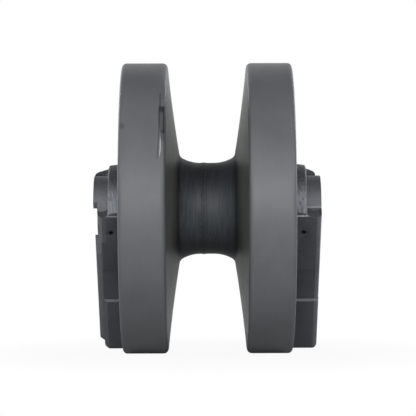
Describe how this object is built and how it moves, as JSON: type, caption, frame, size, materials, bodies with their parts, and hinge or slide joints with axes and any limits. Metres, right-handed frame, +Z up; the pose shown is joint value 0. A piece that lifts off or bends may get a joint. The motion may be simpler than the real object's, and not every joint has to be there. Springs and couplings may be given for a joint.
{
  "type": "track front idler",
  "caption": "Front idler of a rubber-track undercarriage: wide twin-rim steel wheel with a waisted hub, turning on an axle held by sliding guide blocks.",
  "frame": {"origin": "middle of the axle", "axes": "+X along the axle, +Y to the rear where the guide blocks lean, +Z up"},
  "size_m": [0.272, 0.3499, 0.35],
  "materials": {
    "wheel_paint": "satin dark grey paint over a turned casting",
    "block_paint": "satin dark grey paint over a rough casting",
    "weld_paint": "dark grey paint over a weld bead",
    "pin_steel": "dark grey paint over spring steel",
    "axle_steel": "ground, with thin grey paint on the ends",
    "plug_steel": "plain",
    "seal_iron": "lapped face, oiled",
    "seal_rubber": "matt black",
    "bush_bronze": "sintered bronze lining"
  },
  "bodies": {
    "frame": {"axle": "axle_steel", "block_left": "block_paint", "block_right": "block_paint", "lock_pin_left": "pin_steel", "lock_pin_right": "pin_steel", "seal_ring_block_left": "seal_iron", "seal_ring_block_right": "seal_iron", "seal_toric_block_left": "seal_rubber", "seal_toric_block_right": "seal_rubber", "axle_oring_left": "seal_rubber", "axle_oring_right": "seal_rubber", "oil_plug": "plug_steel"},
    "wheel": {"wheel_half_left": "wheel_paint", "wheel_half_right": "wheel_paint", "hub_weld": "weld_paint", "bush_left": "bush_bronze", "bush_right": "bush_bronze", "seal_ring_wheel_left": "seal_iron", "seal_ring_wheel_right": "seal_iron", "seal_toric_wheel_left": "seal_rubber", "seal_toric_wheel_right": "seal_rubber"}
  },
  "joints": [
    {"name": "wheel_spin", "type": "hinge", "parent": "frame", "child": "wheel", "pos_m": [0, 0, 0], "axis": [1, 0, 0], "continuous": true}
  ]
}
